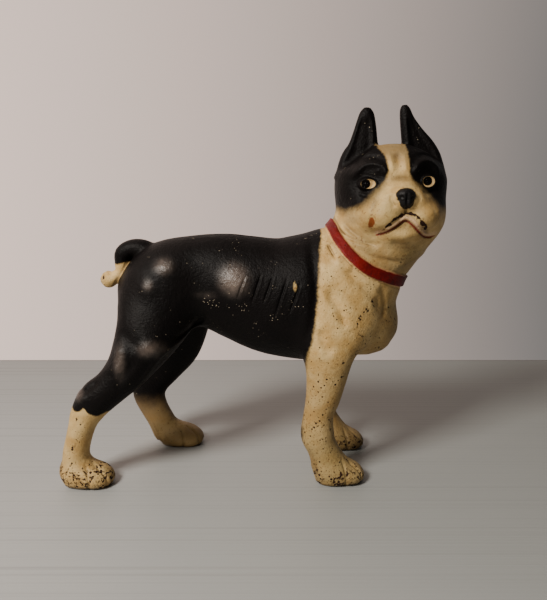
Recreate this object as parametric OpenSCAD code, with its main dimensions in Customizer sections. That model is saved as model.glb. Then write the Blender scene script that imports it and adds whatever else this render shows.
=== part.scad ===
/* [Figure] */
// Height to the tip of the taller ear
figure_h = 255; // [210:1:310]
// Length from the heel of the hindmost paw to the far cheek
figure_l = 264; // [220:1:320]
// Width over the rear paws
figure_w = 94; // [78:1:115]

/* [Casting] */
// Thickness of the iron round the hollow
wall = 4; // [3:0.25:6]
// Gap left between the two half castings at the seam
seam_gap = 0.2; // [0.1:0.05:0.4]
// How far the cast collar stands out of the neck
collar_proud = 1.8; // [0.8:0.1:3]
// Height of the collar band
collar_h = 7.5; // [6:0.5:12]

/* [Coin slot] */
// Length of the slot along the back
slot_l = 36; // [28:1:42]
// Width of the slot across the seam
slot_w = 5; // [4.6:0.1:6.5]
// Place of the slot's middle along the back, in the figure's drawn size
slot_x = -8; // [-16:1:4]

/* [Screws] */
// Outside diameter of the screw thread
screw_d = 6.35; // [5:0.05:8]
// Room round the thread inside the tapped hole
thread_clearance = 0.3; // [0.2:0.05:0.5]
// Room round the screw where it passes through the far half
pass_clearance = 0.5; // [0.3:0.05:1]
// Diameter of the screw head
head_d = 11.5; // [9:0.1:14]
// Height of the screw head
head_h = 3.6; // [2.5:0.1:5]
// Room round the head in its recess
head_clearance = 0.6; // [0.4:0.1:1.2]
// Width of the driver slot in the head
driver_w = 1.6; // [1:0.1:2.2]
// Depth of the driver slot in the head
driver_depth = 1.8; // [1:0.1:2.4]
// Length of thread held by the near half
thread_hold = 14; // [10:1:16]
// Depth of the tapped hole below the end of the screw
hole_spare = 3; // [1:0.5:5]
// Diameter of the posts that carry the screws
boss_d = 19; // [17:0.5:22]
// Diameter of the locating spigot on each near post
spigot_d = 12; // [10.5:0.1:13]
// Length of the locating spigot
spigot_h = 3; // [1.5:0.1:4]
// Room round and beyond the spigot in its socket
spigot_clearance = 0.35; // [0.25:0.05:0.6]

/* [Hidden] */

// The stations below are drawn at this size and then stretched to the figure's own size.
drawn_l = 264;
drawn_w = 94;
drawn_h = 255;
fit = [figure_l / drawn_l, figure_w / drawn_w, figure_h / drawn_h];
inset = wall / min(fit[0], fit[1], fit[2]);
eps = 0.01;
far = 400;

// Colours of the paint and of the bare steel
black_paint = [0.11, 0.11, 0.13];
black_paint_far = [0.15, 0.15, 0.17];
steel = [0.55, 0.54, 0.52];

// Each station is [x, y, z, half size across, half size the other way].
// Trunk, from the rump to the breast; across is Y.
trunk = [
    [-94.5, 0, 126, 3, 5.5], [-90.5, 0, 126.5, 15, 13.5], [-80.5, 0, 128.5, 24, 21.5], [-62, 0, 134, 31, 30],
    [-38, 0, 136.5, 30, 32], [-22, 0, 135, 29.5, 35], [-8, 0, 131.5, 31, 37.5], [15, 0, 125.5, 35, 41.5],
    [40, 0, 124.5, 38, 44.5], [62, 0, 123.5, 36, 41.5], [79, 0, 116.5, 30, 34], [87, 0, 114, 24, 28],
    [93, 0, 113.5, 15, 20], [96.5, 0, 115, 5, 9]];

// Neck, from inside the shoulders to inside the skull; across is Y.
neck = [
    [55, 0, 130, 35, 42], [64, 0, 140, 34, 41], [72, 0, 149, 31, 38], [79, 0, 157, 27.5, 32.5],
    [88, 0, 171, 25.5, 33], [93, 0, 184, 27, 34]];

// Skull, from the throat to the crown; across is X.
skull = [
    [98, 0, 158, 18, 20], [97, -2, 166, 27, 26], [96, -3, 175, 33, 28.5], [96, -3, 185, 36, 30],
    [95, -3, 195, 37.2, 31], [94, -2, 204, 38, 31], [94, -1, 212, 35.5, 29], [93.5, 1, 220, 27, 23],
    [93.5, 3, 226, 15, 14], [93.5, 3, 229, 4, 4]];

// Muzzle and nose, from inside the skull forward; across is X.
muzzle = [
    [94, -14, 190, 31, 20], [94, -26, 190, 27, 17.5], [94, -35, 190, 22.5, 14.5],
    [94, -40.5, 190.5, 16, 10.5], [94, -43.5, 191, 8, 5.5]];
nose = [
    [94, -38, 195, 6, 5], [94, -42, 195.3, 6.5, 5.5], [94, -45.5, 195.5, 5.2, 4.4], [94, -47, 195.6, 2, 1.8]];

// The two cropped ears, from the skull to the tip; across is X.
right_ear = [
    [68, -1, 205, 12, 9], [71, -2, 217, 12, 7], [74.8, -2, 226, 10, 5.8], [76.2, -2, 236, 7.4, 4.8],
    [76.8, -2, 244, 5.2, 3.8], [77.1, -2, 250, 3.2, 2.8], [77.1, -2, 252.6, 1.2, 1.2]];
left_ear = [
    [118, -1, 207, 12.5, 9], [115.5, -2, 217, 13, 7.2], [112, -2, 226, 11.4, 6], [107.4, -2, 236, 7.8, 4.9],
    [103.5, -2, 245, 4.8, 3.9], [101.6, -2, 252, 2.8, 2.8], [101, -2, 255, 1.2, 1.2]];

// Curled tail, from the rump over and down to the tip; across is Y.
tail = [
    [-66, 0, 149, 9, 9], [-75, 0, 157.3, 8, 7.6], [-83.5, 0, 159.3, 7.4, 6.3], [-90, 0, 155.5, 6.8, 6.2],
    [-91.7, 0, 148.5, 6.2, 5], [-95.3, 0, 141.5, 6, 5.7], [-100.3, 0, 137.8, 5.8, 5.8],
    [-104, 0, 137.2, 4.6, 4.6], [-106.7, 0, 137, 1.6, 1.6]];

// Front legs, from the shoulder to the pastern, on the near and the far side; across is Y.
near_front_leg = [
    [60, -18, 134, 12, 18], [57, -25, 112, 15, 23], [52, -29, 92, 13.5, 17.5], [50.5, -29, 76, 12, 14],
    [48.2, -28.5, 60, 11, 11.8], [45.4, -28, 48, 10, 10.3], [44.8, -28, 34, 12, 11.6], [48.5, -28, 24, 11.5, 10.5],
    [54, -28, 12, 12.5, 11.5], [57, -28, 2, 12, 12]];
far_front_leg = [
    [62, 18, 134, 12, 18], [60, 25, 112, 15, 23], [56, 29, 92, 13.5, 16], [54, 29, 76, 12, 12],
    [52.3, 28.5, 60, 11, 10.5], [51, 28, 48, 10, 10], [50.8, 28, 34, 12, 11.6], [54, 28, 24, 11.5, 10.5],
    [60.5, 28, 12, 12.5, 11.5], [64, 28, 2, 12, 12]];

// Rear legs, from the hip over the hock to the pastern; across is Y.
near_rear_leg = [
    [-60, -12, 136, 14, 22], [-65, -19, 117, 17, 25.5], [-73, -25, 99, 17, 20.5], [-83, -29.5, 82, 14.5, 15],
    [-94, -32, 70, 12, 12.3], [-105, -33.5, 61, 11, 12.3], [-112.5, -33.5, 50, 9.5, 10.4],
    [-115.5, -33.5, 42, 9.5, 9], [-118.5, -33.5, 32, 9, 8.6], [-120.6, -33.5, 22, 9.5, 9],
    [-120, -33.5, 10, 11, 11]];
far_rear_leg = [
    [-58, 12, 136, 14, 22], [-57, 19, 117, 17, 27], [-58.5, 25, 100, 17, 24], [-63, 29.5, 82, 15, 21],
    [-72.5, 32, 66, 12.5, 17], [-81, 33.5, 53, 11, 14.5], [-83.5, 34, 41, 10, 12.5], [-80, 34, 30, 9.5, 10.8],
    [-75, 34, 20, 10, 10.3], [-70, 34, 9, 11, 11]];

// A paw about its own middle, from the heel to the toes; across is Y.
paw_y = drawn_w / 2 - 13.3;
paw = [
    [-16.6, 0, 5.6, 3.5, 3], [-14, 0, 6.3, 10, 7.6], [-5, 0, 7.5, 13, 10], [6, 0, 6, 13.3, 8.6],
    [13, 0, 4.3, 10.5, 6.2], [17, 0, 2.8, 4, 2.6]];
// The middle of each paw on the ground: near front, far front, near rear, far rear
paw_places = [[60, -28], [67.6, 28], [-114.5, -paw_y], [-59, paw_y]];
paw_lengths = [1, 1, 1, 1.05];

// The collar lies in a slanted band round the neck.
collar_mid = [79, 0, 156];
collar_tilt = 36;

// Middle of each screw, and the distance from the seam to the seat of its head
front_screw_at = [44, 125];
rear_screw_at = [-62, 137];
front_seat = 30;
rear_seat = 23.5;

function unit(v) = v / norm(v);
function spline(a, b, c, d, t) =
    0.5 * (2 * b + (c - a) * t + (2 * a - 5 * b + 4 * c - d) * t * t + (3 * b - a - 3 * c + d) * t * t * t);
function smooth(p, steps) = [
    for (i = [0:len(p) - 2], k = [0:steps - 1])
        spline(p[max(i - 1, 0)], p[i], p[i + 1], p[min(i + 2, len(p) - 1)], k / steps),
    p[len(p) - 1]];
function centre(s) = [s[0], s[1], s[2]];
function ring(s, along, across, sides) =
    let (u = unit(across - (across * along) * along), v = cross(along, u))
    [for (j = [0:sides - 1]) centre(s) + s[3] * cos(360 * j / sides) * u + s[4] * sin(360 * j / sides) * v];

// A rounded limb through a list of stations
module limb(stations, across, sides, steps) {
    s = smooth(stations, steps);
    n = len(s);
    rings = [
        for (i = [0:n - 1])
            ring(s[i], unit(centre(s[min(i + 1, n - 1)]) - centre(s[max(i - 1, 0)])), across, sides)];
    points = [for (r = rings, p = r) p];
    skin = [
        for (i = [0:n - 2], j = [0:sides - 1])
            let (k = (j + 1) % sides)
            [i * sides + j, (i + 1) * sides + j, (i + 1) * sides + k, i * sides + k]];
    first = [for (j = [0:sides - 1]) j];
    last = [for (j = [sides - 1:-1:0]) (n - 1) * sides + j];
    polyhedron(points, concat([first], skin, [last]));
}

function inner(stations) = [
    for (i = [1:len(stations) - 2]) stations[i] - [0, 0, 0, inset, inset]];

module paws() {
    for (i = [0:3])
        translate([paw_places[i][0], paw_places[i][1], 0])
            limb([for (s = paw) [s[0] * paw_lengths[i], s[1], s[2], s[3], s[4]]], [0, 1, 0], 16, 2);
}

// Neck thickened by the collar, kept only in the collar's slanted band
module collar() {
    intersection() {
        limb([for (s = neck) s + [0, 0, 0, collar_proud, collar_proud]], [0, 1, 0], 32, 2);
        translate(collar_mid)
            rotate([0, collar_tilt, 0])
                cube([far, far, collar_h], center = true);
    }
}

module outside() {
    limb(trunk, [0, 1, 0], 32, 2);
    limb(neck, [0, 1, 0], 28, 2);
    limb(skull, [1, 0, 0], 28, 2);
    limb(muzzle, [1, 0, 0], 20, 2);
    limb(nose, [1, 0, 0], 12, 1);
    limb(right_ear, [1, 0, 0], 12, 2);
    limb(left_ear, [1, 0, 0], 12, 2);
    limb(tail, [0, 1, 0], 12, 3);
    for (leg = [near_front_leg, far_front_leg, near_rear_leg, far_rear_leg])
        limb(leg, [0, 1, 0], 16, 2);
    paws();
    collar();
}

module hollow() {
    limb(inner(trunk), [0, 1, 0], 24, 2);
    limb([for (s = neck) s - [0, 0, 0, inset, inset]], [0, 1, 0], 20, 1);
    limb(inner(skull), [1, 0, 0], 20, 1);
}

module across_seam(at, d, from, to) {
    translate([at[0] * fit[0], 0, at[1] * fit[2]])
        rotate([-90, 0, 0])
            translate([0, 0, from])
                cylinder(h = to - from, d = d, $fn = 48);
}

module coin_slot() {
    translate([slot_x * fit[0] - slot_l / 2, -slot_w / 2, 150 * fit[2]])
        cube([slot_l, slot_w, far]);
}

// One half casting before its holes are cut; side is -1 for the near half and 1 for the far one
module casting(side) {
    resize([0, 0, 0])
        intersection() {
            difference() {
                scale(fit)
                    outside();
                difference() {
                    scale(fit)
                        hollow();
                    across_seam(front_screw_at, boss_d, -far, far);
                    across_seam(rear_screw_at, boss_d, -far, far);
                }
                coin_slot();
            }
            translate([-far, side > 0 ? seam_gap / 2 : -far, 0])
                cube([2 * far, far - seam_gap / 2, far]);
        }
}

module near_post_fittings(at) {
    across_seam(at, spigot_d, -1, spigot_h);
}

module tapped_hole(at) {
    across_seam(at, screw_d + 2 * thread_clearance, -thread_hold - hole_spare, spigot_h + 1);
}

module passage(at, seat) {
    across_seam(at, screw_d + 2 * pass_clearance, -1, seat + 1);
    across_seam(at, spigot_d + 2 * spigot_clearance, -1, spigot_h + spigot_clearance);
    across_seam(at, head_d + 2 * head_clearance, seat, far);
}

module right_half() {
    color(black_paint)
        difference() {
            union() {
                casting(-1);
                near_post_fittings(front_screw_at);
                near_post_fittings(rear_screw_at);
            }
            tapped_hole(front_screw_at);
            tapped_hole(rear_screw_at);
        }
}

module left_half() {
    color(black_paint_far)
        difference() {
            casting(1);
            passage(front_screw_at, front_seat * fit[1]);
            passage(rear_screw_at, rear_seat * fit[1]);
        }
}

// Round-head machine screw, head towards +Y and seated at the given distance from the seam
module screw(at, seat) {
    color(steel)
        difference() {
            union() {
                across_seam(at, screw_d, -thread_hold, seat + eps);
                across_seam(at, head_d, seat, seat + head_h);
            }
            translate([at[0] * fit[0] - driver_w / 2, seat + head_h - driver_depth, at[1] * fit[2] - head_d])
                cube([driver_w, far, 2 * head_d]);
        }
}

module front_screw() {
    screw(front_screw_at, front_seat * fit[1] + eps);
}

module rear_screw() {
    screw(rear_screw_at, rear_seat * fit[1] + eps);
}

right_half();
left_half();
front_screw();
rear_screw();
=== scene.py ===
"""Looks of the cast iron terrier bank: two painted half castings and two machine screws.

The castings are modelled as signed distance fields in millimetres on a regular grid: a smooth body from
rounded limbs, then every cast detail, then the hollow, the seam and the screw posts. The zero surface of
the field is the mesh.
"""
import math

import bpy
import numpy as np
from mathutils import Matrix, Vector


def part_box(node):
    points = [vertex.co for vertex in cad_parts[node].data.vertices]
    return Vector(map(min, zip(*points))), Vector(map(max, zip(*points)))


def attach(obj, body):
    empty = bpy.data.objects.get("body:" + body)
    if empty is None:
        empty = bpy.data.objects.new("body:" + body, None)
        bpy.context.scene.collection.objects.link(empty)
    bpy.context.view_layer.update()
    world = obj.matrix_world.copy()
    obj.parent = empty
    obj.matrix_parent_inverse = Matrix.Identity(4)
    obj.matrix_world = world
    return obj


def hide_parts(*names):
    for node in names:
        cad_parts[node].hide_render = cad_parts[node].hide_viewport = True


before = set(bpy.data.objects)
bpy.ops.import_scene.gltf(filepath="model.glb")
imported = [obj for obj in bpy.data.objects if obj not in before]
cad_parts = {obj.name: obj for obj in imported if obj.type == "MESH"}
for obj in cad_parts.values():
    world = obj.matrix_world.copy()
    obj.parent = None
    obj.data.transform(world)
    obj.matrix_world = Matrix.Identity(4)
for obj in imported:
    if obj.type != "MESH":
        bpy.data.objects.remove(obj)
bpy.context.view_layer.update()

import openvdb
from mathutils import Matrix, Vector

MM = 0.001
FAR = 30.0
# Spacing of the coarse grid that gives the smooth body, and of the fine grid that gives the details, in mm
COARSE_STEP = 2.4
FINE_STEP = 0.6
MOST_TRIANGLES = 190000

# ---------------------------------------------------------------- sizes, in millimetres

WALL = 4.0
HALF_GAP = 0.01
POST_RADIUS = 9.5
SPIGOT_RADIUS = 6.0
SPIGOT_LENGTH = 3.0
SPIGOT_ROOM = 0.35
HEAD_ROOM = 0.6
TAPPED_RADIUS = 3.45
THROUGH_RADIUS = 3.7
HEAD_HEIGHT = 3.6
SLOT_MIDDLE, SLOT_LENGTH, SLOT_WIDTH, SLOT_BOTTOM = -8.0, 36.0, 5.0, 150.0

# Stations along each limb: x, y, z, half size across, half size the other way
TRUNK = [
    (-94.5, 0, 126, 3, 5.5), (-90.5, 0, 126.5, 15, 13.5), (-80.5, 0, 128.5, 24, 21.5), (-62, 0, 134, 31, 30),
    (-38, 0, 136.5, 30, 32), (-22, 0, 135, 29.5, 35), (-8, 0, 131.5, 31, 37.5), (15, 0, 125.5, 35, 41.5),
    (40, 0, 124.5, 38, 44.5), (62, 0, 123.5, 36, 41.5), (79, 0, 116.5, 30, 34), (86, 0, 117.5, 24, 27.5),
    (90.5, 0, 120.5, 16, 18.5), (94.3, 0, 124.5, 7, 9)]
NECK = [
    (55, 0, 130, 35, 42), (64.5, 0, 139.4, 34, 40), (72.6, 0, 148.4, 31, 37), (79, 0, 157, 27.5, 32.5),
    (88, 0, 171, 25.5, 33), (93, 0, 184, 27, 34)]
SKULL = [
    (98, 0, 158, 18, 20), (97, -2, 166, 27, 26), (96.8, -3, 175, 31.5, 28.5), (97, -3, 185, 34, 30),
    (95.4, -3, 195, 36.6, 31), (94, -2, 204, 38, 31), (94, -1, 212, 35.5, 29), (93.5, 1, 220, 27, 23),
    (93.5, 3, 226, 15, 14), (93.5, 3, 229, 4, 4)]
RIGHT_EAR = [
    (68, -1, 205, 12, 9), (71, -2, 217, 12, 7), (74.5, -2, 226, 10.5, 5.8), (75.8, -2, 236, 8.2, 5),
    (76.4, -2, 244, 6.4, 4.3), (76.7, -2, 250, 4.6, 3.4), (76.8, -2, 253.2, 2, 1.8)]
LEFT_EAR = [
    (118, -1, 207, 12.5, 9), (115.5, -2, 217, 13, 7.2), (112, -2, 226, 11.4, 6), (107.4, -2, 236, 7.8, 4.9),
    (103.8, -2, 245, 5, 4), (102, -2, 252, 3.4, 3), (101.6, -2, 254.9, 1.6, 1.5)]
TAIL = [
    (-66, 0, 149, 9, 9), (-75, 0, 157.3, 8, 7.6), (-83.5, 0, 159.3, 7.4, 6.3), (-90, 0, 155.5, 6.8, 6.2),
    (-91.2, 0, 148.5, 6.2, 5.3), (-92, 0, 143, 6, 4.6), (-96.6, 0, 139.2, 5.8, 4.4),
    (-100.8, 0, 137.6, 5.8, 6), (-104.6, 0, 137.2, 4.8, 4.9), (-107, 0, 137, 1.6, 1.6)]
NEAR_FRONT_LEG = [
    (60, -18, 134, 12, 18), (57, -25, 112, 15, 23), (52, -29, 92, 13.5, 17.5), (50.5, -29, 76, 12, 14),
    (48.2, -28.5, 60, 11, 11.8), (45.4, -28, 48, 10, 10.3), (44.8, -28, 34, 12, 11.6),
    (48.5, -28, 24, 11.5, 10.5), (54, -28, 12, 12.5, 11.5), (57, -28, 2, 12, 12)]
FAR_FRONT_LEG = [
    (62, 18, 134, 12, 18), (60, 25, 112, 15, 23), (56, 29, 92, 13.5, 16), (54, 29, 76, 12, 12),
    (52.3, 28.5, 60, 11, 10.5), (51, 28, 48, 10, 10), (50.8, 28, 34, 12, 11.6), (54, 28, 24, 11.5, 10.5),
    (60.5, 28, 12, 12.5, 11.5), (64, 28, 2, 12, 12)]
NEAR_REAR_LEG = [
    (-60, -12, 136, 14, 22), (-65, -19, 117, 17, 25.5), (-73, -25, 99, 17, 20.5), (-83, -29.5, 82, 14.5, 15),
    (-94, -32, 70, 12, 12.3), (-105, -33.5, 61, 11, 12.3), (-112.5, -33.5, 50, 9.5, 10.4),
    (-115.5, -33.5, 42, 9.5, 9), (-118.5, -33.5, 32, 9, 8.6), (-120.6, -33.5, 22, 9.5, 9),
    (-120, -33.5, 10, 11, 11)]
FAR_REAR_LEG = [
    (-58, 12, 136, 14, 22), (-57, 19, 117, 17, 27), (-58.5, 25, 100, 17, 24), (-63, 29.5, 82, 15, 21),
    (-72.5, 32, 66, 12.5, 17), (-81, 33.5, 53, 11, 14.5), (-83.5, 34, 41, 10, 12.5),
    (-80, 34, 30, 9.5, 10.8), (-75, 34, 20, 10, 10.3), (-70, 34, 9, 11, 11)]
PAW = [
    (-16.6, 0, 5.6, 3.5, 3), (-14, 0, 6.3, 10, 7.6), (-5, 0, 7.5, 13, 10), (6, 0, 6, 13.3, 8.6),
    (13, 0, 4.3, 10.5, 6.2), (17, 0, 2.8, 4, 2.6)]
# Middle of each paw on the ground
PAW_PLACES = [(60, -28), (67.6, 28), (-113, -33.7), (-59, 33.7)]
ALONG_X, ALONG_Y = (1, 0, 0), (0, 1, 0)

# Lines drawn on the side view, as (x, z) points
COLLAR_LINE = [
    (46, 190), (53.4, 175.8), (56.7, 168.4), (63, 160), (70.5, 152.8), (79, 147.2), (90, 142.6), (99, 139.3),
    (106, 137.2), (120, 134)]
# Half the collar's width at the nape, and how much wider it is at the throat
COLLAR_HALF, COLLAR_WIDENS = 2.9, 1.2
RIB_LINES = [
    [(-3.7, 144.8), (-6.6, 136.7), (-10, 128.1)], [(7.1, 147.3), (3.3, 135.9), (-0.5, 124.4)],
    [(14.5, 145), (11.3, 136.1), (7.5, 125.6)], [(24.2, 145.5), (20.1, 132.8), (16.4, 121.4), (14.1, 115.2)],
    [(32.1, 141.4), (29.4, 133), (24.3, 118.8)]]
MOUTH_LINE = [
    (81, 170.8), (84, 171.6), (87.5, 173.6), (91.5, 176.4), (94.8, 178.9), (97.6, 180.4), (100.6, 178.9),
    (103.8, 176.1), (107.8, 172.4), (112, 169.8), (116.4, 169), (120.3, 169.9)]
LIP_MARKS = [
    (83.7, 174.6), (87, 178.5), (90.5, 181.6), (94, 183.8), (97.6, 185), (101.5, 184.4), (105.3, 181.8),
    (108.6, 178.4), (111, 175)]
# Eyes as (x, z, half width, half height) and irises as (x, z, radius)
EYES = [(74.7, 203.3, 4.6, 3.0), (113.1, 204.7, 4.0, 3.4)]
IRISES = [(73.2, 203.3, 2.95), (112.6, 205.1, 2.9)]
# Rows of chips in the cream paint, and of dust specks on the black
CHEST_CHIPS = [
    (76, 139), (77, 132.7), (79.9, 125), (73.8, 122), (72.9, 119.2), (69.2, 115.3), (70.8, 107.5),
    (74.9, 100), (67, 91)]
LEG_CHIPS = [(56.2, 78.2), (50.8, 72.1), (46.5, 63.6), (50.3, 60.5), (48.9, 54.2), (42.3, 46)]
REAR_CHIPS = [(-115.9, 49.9), (-113, 45), (-117, 34), (-121.2, 26.6), (-119.4, 16.9)]
# Rubbed shiny swellings, where the black is also painted lighter as a highlight, as (x, z, half width, half
# height, how much)
POLISHED_AND_HIGHLIGHTS = [
    (-57.5, 150.2, 7.5, 6, 0.7), (-67.7, 138.3, 4.5, 5, 0.55), (-11.5, 141.5, 10, 10.5, 1.0),
    (-65.3, 97.7, 9, 6, 0.75), (-85.5, 89, 4.5, 13, 0.65), (-116, 66, 6, 5, 0.6), (-30, 131, 10, 4, 0.35)]
SPECK_LINE = [(-30, 127), (-20, 125.5), (-7, 124), (3, 122), (9, 119.5), (17, 118.7), (25, 122.5), (33, 126)]


# ---------------------------------------------------------------- distance fields

class Grid:
    """Signed distances in millimetres at the points of a box, negative inside the iron."""

    def __init__(self, low, high, step):
        self.step = step
        self.axes = [np.arange(a, b + step, step, dtype=np.float32) for a, b in zip(low, high)]
        self.values = np.full([len(a) for a in self.axes], FAR, np.float32)

    def part(self, low, high):
        """The slices over a box, and the coordinates there, ready to broadcast."""
        cut = []
        for a, l, h in zip(self.axes, low, high):
            first = max(0, int((l - a[0]) / self.step))
            cut.append(slice(first, max(first + 1, int((h - a[0]) / self.step) + 2)))
        x, y, z = (a[c] for a, c in zip(self.axes, cut))
        return tuple(cut), x[:, None, None], y[None, :, None], z[None, None, :]

    def sample(self, points):
        """Values at any points, by linear interpolation."""
        low = np.array([a[0] for a in self.axes])
        top = np.array(self.values.shape) - 2
        at = (points - low) / self.step
        i = np.clip(at.astype(int), 0, top)
        f = np.clip(at - i, 0, 1)
        total = np.zeros(len(points), np.float32)
        for corner in range(8):
            d = np.array([corner >> 2 & 1, corner >> 1 & 1, corner & 1])
            w = np.prod(np.where(d, f, 1 - f), axis=1)
            j = i + d
            total += w * self.values[j[:, 0], j[:, 1], j[:, 2]]
        return total


def blend_min(a, b, k):
    """The nearer of two solids, with a fillet of about k at the join."""
    h = np.maximum(k - np.abs(a - b), 0) / k
    return np.minimum(a, b) - h * h * k * 0.25


def blend_max(a, b, k):
    """The overlap of two solids, with its edge rounded by about k."""
    return -blend_min(-a, -b, k)


def smoothstep(low, high, v):
    """0 below low and 1 above high, with a smooth rise between them."""
    t = np.clip((v - low) / (high - low), 0, 1)
    return t * t * (3 - 2 * t)


def curve_through(points, steps):
    """Points on a smooth curve through the given ones, with the stations' sizes carried along."""
    p = np.array(points, float)
    out = []
    for i in range(len(p) - 1):
        a, b, c, d = p[max(i - 1, 0)], p[i], p[i + 1], p[min(i + 2, len(p) - 1)]
        for k in range(steps):
            t = k / steps
            out.append(0.5 * (2 * b + (c - a) * t + (2 * a - 5 * b + 4 * c - d) * t ** 2
                              + (3 * b - a - 3 * c + d) * t ** 3))
    out.append(p[-1])
    return np.array(out)


def limb(grid, stations, across, k, steps=4, shrink=0.0, carve=False):
    """Joins a rounded limb through the stations to the grid's solid, or cuts it away."""
    s = curve_through(stations, steps)
    s[:, 3:] = np.maximum(s[:, 3:] - shrink, 0.6)
    margin = FAR * 0.45 + k
    widest = s[:, 3:].max(1)[:, None]
    whole, x, y, z = grid.part((s[:, :3] - widest).min(0) - margin, (s[:, :3] + widest).max(0) + margin)
    chords = np.diff(s[:, :3], axis=0)
    chords /= np.linalg.norm(chords, axis=1)[:, None]
    facing = np.vstack([chords[:1], chords[:-1] + chords[1:], chords[-1:]])
    facing /= np.linalg.norm(facing, axis=1)[:, None]
    field = np.full([x.size, y.size, z.size], FAR, np.float32)
    last = len(chords) - 1
    for i, along in enumerate(chords):
        reach = max(widest[i, 0], widest[i + 1, 0]) * 1.5 + margin
        low, high = np.minimum(s[i, :3], s[i + 1, :3]) - reach, np.maximum(s[i, :3], s[i + 1, :3]) + reach
        cut, *_ = grid.part(low, high)
        cut = tuple(slice(max(c.start - w.start, 0), c.stop - w.start) for c, w in zip(cut, whole))
        near = stretch(x[cut[0]], y[:, cut[1]], z[:, :, cut[2]], s[i], s[i + 1],
                       facing[i], facing[i + 1], along, across, i == 0, i == last)
        field[cut] = np.minimum(field[cut], near)
    kept = grid.values[whole]
    grid.values[whole] = blend_max(kept, -field, k) if carve else blend_min(kept, field, k)


def stretch(x, y, z, a, b, face_a, face_b, along, across, first, last):
    """Distance to the elliptical stretch between two stations, and FAR outside the slab between them."""
    from_a = (x - a[0]) * face_a[0] + (y - a[1]) * face_a[1] + (z - a[2]) * face_a[2]
    to_b = (b[0] - x) * face_b[0] + (b[1] - y) * face_b[1] + (b[2] - z) * face_b[2]
    t = np.clip(from_a / np.maximum(from_a + to_b, 0.01), 0, 1)
    u = np.array(across, float)
    u = u - (u @ along) * along
    u = u / np.linalg.norm(u)
    v = np.cross(along, u)
    px, py, pz = (c - (p + (q - p) * t) for c, p, q in ((x, a[0], b[0]), (y, a[1], b[1]), (z, a[2], b[2])))
    ra = a[3] + (b[3] - a[3]) * t
    rb = a[4] + (b[4] - a[4]) * t
    taper = np.hypot(1, (b[3] + b[4] - a[3] - a[4]) / 2 / np.linalg.norm(b[:3] - a[:3]))
    qu = (px * u[0] + py * u[1] + pz * u[2]) / ra
    qv = (px * v[0] + py * v[1] + pz * v[2]) / rb
    d = round_distance(qu, qv, 0.0, ra, rb, 1.0) / taper
    if first:
        d = np.maximum(d, -from_a)
    if last:
        d = np.maximum(d, -to_b)
    return np.where((from_a >= 0 if not first else True) & (to_b >= 0 if not last else True), d, FAR)


def round_distance(qu, qv, qt, ra, rb, rc):
    """Distance to an ellipsoid, from a point given in shares of its half sizes."""
    near = np.sqrt(qu * qu + qv * qv + qt * qt)
    slope = np.sqrt((qu / ra) ** 2 + (qv / rb) ** 2 + (qt / rc) ** 2)
    return np.where(near < 0.05, -np.minimum(ra, rb), near * (near - 1) / np.maximum(slope, 1e-6))


def ball(grid, centre, radii, k, carve=False):
    """Joins or cuts an ellipsoid."""
    c, r = np.array(centre, float), np.array(radii, float)
    margin = r.max() * 0.3 + k + 4
    cut, x, y, z = grid.part(c - r - margin, c + r + margin)
    d = round_distance((x - c[0]) / r[0], (y - c[1]) / r[1], (z - c[2]) / r[2], r[0], r[1], r[2])
    kept = grid.values[cut]
    grid.values[cut] = blend_max(kept, -d, k) if carve else blend_min(kept, d, k)


def line_distance(x, z, points):
    """Distance in the side view to a line, and the share of its length at the nearest point."""
    p = curve_through(points, 4) if len(points) > 2 else np.array(points, float)
    steps = np.linalg.norm(np.diff(p, axis=0), axis=1)
    total, done = steps.sum(), 0.0
    best, share = None, None
    for a, b, length in zip(p[:-1], p[1:], steps):
        ux, uz = (b - a) / length
        t = np.clip((x - a[0]) * ux + (z - a[1]) * uz, 0, length)
        d = np.hypot(x - a[0] - t * ux, z - a[1] - t * uz)
        s = (done + t) / total
        if best is None:
            best, share = d, s
        else:
            nearer = d < best
            best, share = np.where(nearer, d, best), np.where(nearer, s, share)
        done += length
    return best, share


def y_window(y, low, high, fade=4.0):
    """1 between two depths, fading to 0 outside them."""
    return smoothstep(low - fade, low, y) * (1 - smoothstep(high, high + fade, y))


def stroke(grid, points, width, depth, low_y, high_y, taper=0.25):
    """Presses a groove into the sides along a side-view line; a negative depth raises a ridge."""
    p = np.array(points, float)
    reach = width * 2.6 + 1
    cut, x, y, z = grid.part((p[:, 0].min() - reach, low_y - 5, p[:, 1].min() - reach),
                             (p[:, 0].max() + reach, high_y + 5, p[:, 1].max() + reach))
    d, share = line_distance(x, z, points)
    shape = depth * np.exp(-(d / width) ** 2)
    if taper:
        shape = shape * smoothstep(0, taper, share) * (1 - smoothstep(1 - taper, 1, share))
    grid.values[cut] += shape * y_window(y, low_y, high_y)


def dimple(grid, centre, radii, depth, low_y, high_y):
    """Presses a soft oval hollow in the side view; a negative depth raises a swelling."""
    cx, cz = centre
    rx, rz = radii
    cut, x, y, z = grid.part((cx - 2.4 * rx, low_y - 5, cz - 2.4 * rz),
                             (cx + 2.4 * rx, high_y + 5, cz + 2.4 * rz))
    shape = depth * np.exp(-((x - cx) / rx) ** 2 - ((z - cz) / rz) ** 2)
    grid.values[cut] += shape * y_window(y, low_y, high_y)


def spline_weights(fine, coarse):
    """Cubic B-spline weights that take a coarse axis to a fine one."""
    step = coarse[1] - coarse[0]
    at = (fine - coarse[0]) / step
    i = np.floor(at).astype(int)
    t = at - i
    weights = np.zeros((len(fine), len(coarse)), np.float32)
    parts = [(1 - t) ** 3, 3 * t ** 3 - 6 * t ** 2 + 4, -3 * t ** 3 + 3 * t ** 2 + 3 * t + 1, t ** 3]
    rows = np.arange(len(fine))
    for k, w in enumerate(parts):
        np.add.at(weights, (rows, np.clip(i + k - 1, 0, len(coarse) - 1)), w / 6)
    return weights


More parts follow.
